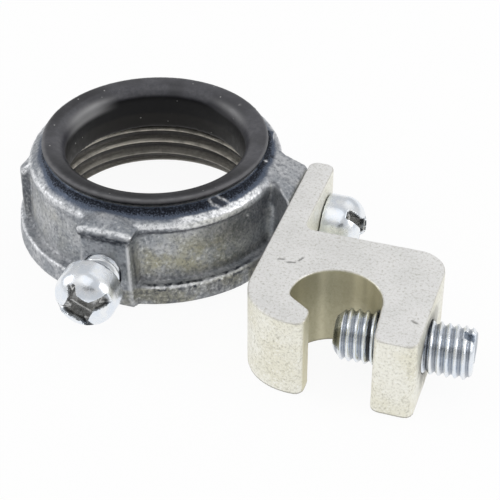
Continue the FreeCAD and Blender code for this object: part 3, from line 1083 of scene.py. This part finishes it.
def make_lug(material):
    mesh = fine_copy("ground_lug", lug_voxel, easing=1)
    points = points_of(mesh)
    normals = normals_of(mesh)
    x, y, z = points.T
    nick_gap = np.min([from_line(points, start, end) for start, end in nick_lines], axis=0)
    dark_marks = nick_strength * close_by(nick_gap, *nick_width)
    raised = waves_of(points, lug_waves) - lug_sink - nick_depth * dark_marks
    set_points(mesh, points + normals * raised[:, None])

    side = close_by(np.abs(normals[:, 2]), 0.3, 0.7)
    store(mesh, "side", side)
    # Painted shadows along the foot and on the jaw's side round the clamping screw.
    foot_shadow = side * close_by(z, *foot_shadow_height)
    _, from_clamp, _, _ = round_axis(points, clamp_tip, level_way(clamp_turn), up)
    jaw_side = (x > jaw_side_x) * (normals[:, 0] > 0.5)
    clamp_shadow = jaw_side * close_by(from_clamp + rough(points, size=1.2, seed=14), *clamp_shadow_reach)
    store(mesh, "dark_marks", strongest((1.0, dark_marks), (0.7, foot_shadow), (0.6, clamp_shadow)))

    from_hole = np.hypot(x - wire_hole[0], y - wire_hole[1])
    hole_turn = np.arctan2(y - wire_hole[1], x - wire_hole[0])
    hole = side * close_by(from_hole, *hole_wall_reach)
    store(mesh, "hole", 0.95 * hole)
    flat = np.zeros(len(points))
    round_hole = hole_streak_radius * np.stack([np.cos(hole_turn), np.sin(hole_turn), flat], axis=1)
    # Streaks on the hole's wall, with painted shade on part of it.
    lit = 1.0 - 0.85 * window(np.degrees(hole_turn) % 360.0, *dark_hole_turns)
    store(mesh, "streaks_and_shade", ramp(rough(round_hole, size=0.7, seed=9), -0.4, 0.5) * lit)
    mark_edges(mesh, spread=2)
    add_piece(mesh, "lug_fine", "ground_lug", "lug", material)


def floor_finish():
    """White floor that the camera and shiny surfaces see as nearly white, with the object's soft shadow."""
    floor_white = (0.95, 0.95, 0.95, 1.0)
    glow_share = 0.93
    material = bpy.data.materials.new("white_floor")
    material.use_nodes = True
    tree = material.node_tree
    tree.nodes.clear()
    path = tree.nodes.new("ShaderNodeLightPath")
    seen = path.outputs["Is Camera Ray"]
    for ray in ("Is Glossy Ray", "Is Transmission Ray"):
        either = tree.nodes.new("ShaderNodeMath")
        either.operation = "MAXIMUM"
        tree.links.new(seen, either.inputs[0])
        tree.links.new(path.outputs[ray], either.inputs[1])
        seen = either.outputs["Value"]
    share = tree.nodes.new("ShaderNodeMath")
    share.operation = "MULTIPLY"
    share.inputs[1].default_value = glow_share
    tree.links.new(seen, share.inputs[0])
    plain = tree.nodes.new("ShaderNodeBsdfDiffuse")
    plain.inputs["Color"].default_value = floor_white
    glow = tree.nodes.new("ShaderNodeEmission")
    both = tree.nodes.new("ShaderNodeMixShader")
    out = tree.nodes.new("ShaderNodeOutputMaterial")
    tree.links.new(share.outputs["Value"], both.inputs["Fac"])
    tree.links.new(plain.outputs["BSDF"], both.inputs[1])
    tree.links.new(glow.outputs["Emission"], both.inputs[2])
    tree.links.new(both.outputs["Shader"], out.inputs["Surface"])
    return material


def card_finish():
    card_black = (0.01, 0.01, 0.012, 1.0)
    material = bpy.data.materials.new("black_card")
    material.use_nodes = True
    material.node_tree.nodes["Principled BSDF"].inputs["Base Color"].default_value = card_black
    return material


def add_sheet(name, middle, across, upright, material):
    """Flat staged sheet that reaches across and upright to both sides of its middle."""
    corners = [
        middle - across - upright,
        middle + across - upright,
        middle + across + upright,
        middle - across + upright,
    ]
    mesh = bpy.data.meshes.new(name)
    mesh.from_pydata(corners, [], [(0, 1, 2, 3)])
    mesh.materials.append(material)
    sheet = bpy.data.objects.new(name, mesh)
    bpy.context.scene.collection.objects.link(sheet)


def make_floor():
    middle = Vector((0.0, 0.0, floor_height))
    across = Vector((floor_half, 0.0, 0.0))
    upright = Vector((0.0, floor_half, 0.0))
    add_sheet("floor", middle, across, upright, floor_finish())


def make_dark_card():
    """Black card behind the camera, which draws a dark line along what shines."""
    add_sheet("dark_card", card_middle, card_across, card_upright, card_finish())


def soft_box(name, place, size, power):
    """Square lamp, with its size in metres and its power in watts, turned to the object's middle."""
    lamp = bpy.data.lights.new(name, "AREA")
    lamp.shape = "SQUARE"
    lamp.size = size
    lamp.energy = power
    holder = bpy.data.objects.new(name, lamp)
    holder.location = place
    holder.rotation_mode = "QUATERNION"
    holder.rotation_quaternion = (stage_middle - Vector(place)).to_track_quat("-Z", "Y")
    bpy.context.scene.collection.objects.link(holder)


def set_world():
    """White to the camera, and a plain even light to everything else."""
    world = bpy.data.worlds.new("studio")
    bpy.context.scene.world = world
    world.use_nodes = True
    tree = world.node_tree
    background = tree.nodes["Background"]
    background.inputs["Color"].default_value = (1.0, 1.0, 1.0, 1.0)
    path = tree.nodes.new("ShaderNodeLightPath")
    level = tree.nodes.new("ShaderNodeMapRange")
    level.inputs["To Min"].default_value = world_strength
    level.inputs["To Max"].default_value = 1.0
    tree.links.new(path.outputs["Is Camera Ray"], level.inputs["Value"])
    tree.links.new(level.outputs["Result"], background.inputs["Strength"])


def set_camera():
    camera = bpy.data.cameras.new("camera")
    camera.sensor_width = camera_sensor
    camera.lens = camera_sensor / 2.0 / math.tan(camera_angle / 2.0)
    camera.clip_start = 0.01
    camera.clip_end = 10.0
    holder = bpy.data.objects.new("camera", camera)
    holder.location = camera_place
    holder.rotation_mode = "QUATERNION"
    holder.rotation_quaternion = camera_way.to_track_quat("-Z", "Y")
    bpy.context.scene.collection.objects.link(holder)
    bpy.context.scene.camera = holder


def build_pieces():
    screw_zinc = bright_zinc()
    make_casting(zinc_casting())
    make_liner(black_plastic())
    make_small_screw("lock_screw", (lock_screw_x, -lock_head_under, screw_height), lock_way, screw_zinc)
    make_small_screw("lug_screw", (lug_head_under, 0.0, screw_height), lug_way, screw_zinc)
    make_lug(tin_plate())
    make_clamp_screw(screw_zinc)


def set_stage():
    make_floor()
    make_dark_card()
    soft_box("left", place=(-0.52, -0.08, 0.28), size=0.28, power=0.6)
    soft_box("right", place=(0.52, 0.03, 0.28), size=0.28, power=0.7)
    soft_box("back", place=(0.16, 0.40, 0.42), size=0.40, power=0.15)
    soft_box("top", place=(-0.05, -0.16, 0.55), size=0.45, power=0.3)
    set_world()
    set_camera()
    bpy.context.scene.view_settings.view_transform = "Standard"


build_pieces()
set_stage()
